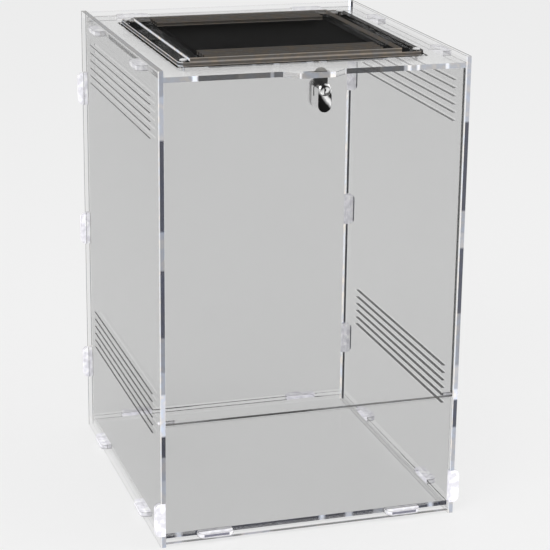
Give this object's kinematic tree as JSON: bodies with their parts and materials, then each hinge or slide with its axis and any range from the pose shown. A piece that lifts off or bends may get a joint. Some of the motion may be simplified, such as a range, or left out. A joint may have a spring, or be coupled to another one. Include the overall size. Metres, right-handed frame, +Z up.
{
  "type": "front-opening reptile terrarium",
  "caption": "Tall clear acrylic reptile terrarium with slotted side vents, a mesh top vent under a loose slotted cover, and a drop-down front door held by a cam lock.",
  "frame": {"origin": "on the floor, under the middle of the whole, with the lock in front and the rear tabs included; the box's own middle is 7.35 mm behind it", "axes": "X to the right seen from the front, Y to the back, Z up; the door is on the -Y side"},
  "size_m": [0.311, 0.3556, 0.4649],
  "materials": {
    "clear_acrylic": "polished clear acrylic with bright cut edges",
    "black_mesh": "black fine mesh",
    "steel": "plated steel",
    "clear_pin": "clear acrylic rod",
    "lock_chrome": "bright chrome",
    "lock_dark": "dark plated key face",
    "cam_black": "black satin"
  },
  "bodies": {
    "box": {"left_side_panel": "clear_acrylic", "right_side_panel": "clear_acrylic", "back_panel": "clear_acrylic", "bottom_panel": "clear_acrylic", "front_lower_panel": "clear_acrylic", "top_panel": "clear_acrylic", "vent_mesh": "black_mesh", "vent_frame": "clear_acrylic", "vent_screws": "steel"},
    "cover": {"vent_cover": "clear_acrylic"},
    "door": {"door_panel": "clear_acrylic", "hinge_pins": "clear_pin", "lock_body": "lock_chrome", "lock_backing_plate": "steel", "lock_screws": "steel"},
    "lock_core": {"lock_cylinder": "lock_dark", "lock_cam": "cam_black", "lock_clip": "steel"}
  },
  "joints": [
    {"name": "door_hinge", "type": "hinge", "parent": "box", "child": "door", "pos_m": [0, -0.15515, 0.1271], "axis": [1, 0, 0], "range_deg": [0, 105]},
    {"name": "lock_turn", "type": "hinge", "parent": "door", "child": "lock_core", "pos_m": [0, -0.16515, 0.441], "axis": [0, -1, 0], "range_deg": [0, 90]},
    {"name": "cover_lift", "type": "slide", "parent": "box", "child": "cover", "axis": [0, 0, 1], "range_m": [0, 0.04]}
  ]
}
